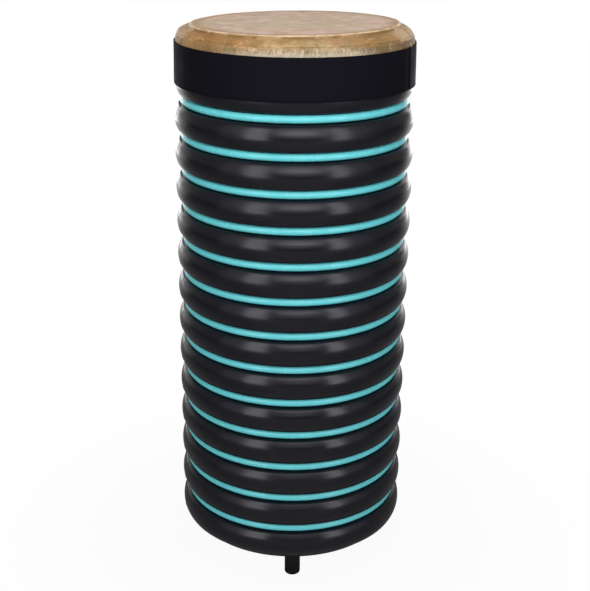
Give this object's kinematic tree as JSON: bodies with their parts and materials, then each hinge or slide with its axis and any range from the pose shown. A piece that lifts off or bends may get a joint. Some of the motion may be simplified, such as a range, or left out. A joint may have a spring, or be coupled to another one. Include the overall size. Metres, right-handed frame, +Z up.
{
  "type": "hand drum",
  "caption": "Tall cylindrical hand drum: goat skin head on a ribbed black pipe, turquoise cords in the valleys, black head band, short rubber-tipped legs.",
  "frame": {"origin": "on the floor, under the middle of the drum", "axes": "+Z up along the drum's axis, towards the playing head; the front leg is at -Y and the head band's lap is on the +X side"},
  "size_m": [0.25, 0.25, 0.5867],
  "materials": {
    "pipe": "black moulded polyethylene, semi-gloss",
    "colour_cord": "glossy turquoise round cord",
    "skin": "goat skin, mottled pinkish tan, hairy towards the band",
    "lashing": "tight twisted cord",
    "band": "matte black",
    "leg": "black rod, satin",
    "leg_tip": "black rubber, satin",
    "screw": "zinc plated"
  },
  "bodies": {
    "root": {"shell_outer_wall": "pipe", "shell_inner_liner": "pipe", "colour_cord_01": "colour_cord", "colour_cord_02": "colour_cord", "colour_cord_03": "colour_cord", "colour_cord_04": "colour_cord", "colour_cord_05": "colour_cord", "colour_cord_06": "colour_cord", "colour_cord_07": "colour_cord", "colour_cord_08": "colour_cord", "colour_cord_09": "colour_cord", "colour_cord_10": "colour_cord", "colour_cord_11": "colour_cord", "colour_cord_12": "colour_cord", "colour_cord_13": "colour_cord", "head_skin": "skin", "head_lashing_cord": "lashing", "head_band": "band", "leg_front": "leg", "leg_right": "leg", "leg_left": "leg", "leg_tip_front": "leg_tip", "leg_tip_right": "leg_tip", "leg_tip_left": "leg_tip", "leg_screw_front_lower": "screw", "leg_screw_front_upper": "screw", "leg_screw_right_lower": "screw", "leg_screw_right_upper": "screw", "leg_screw_left_lower": "screw", "leg_screw_left_upper": "screw"}
  },
  "joints": []
}
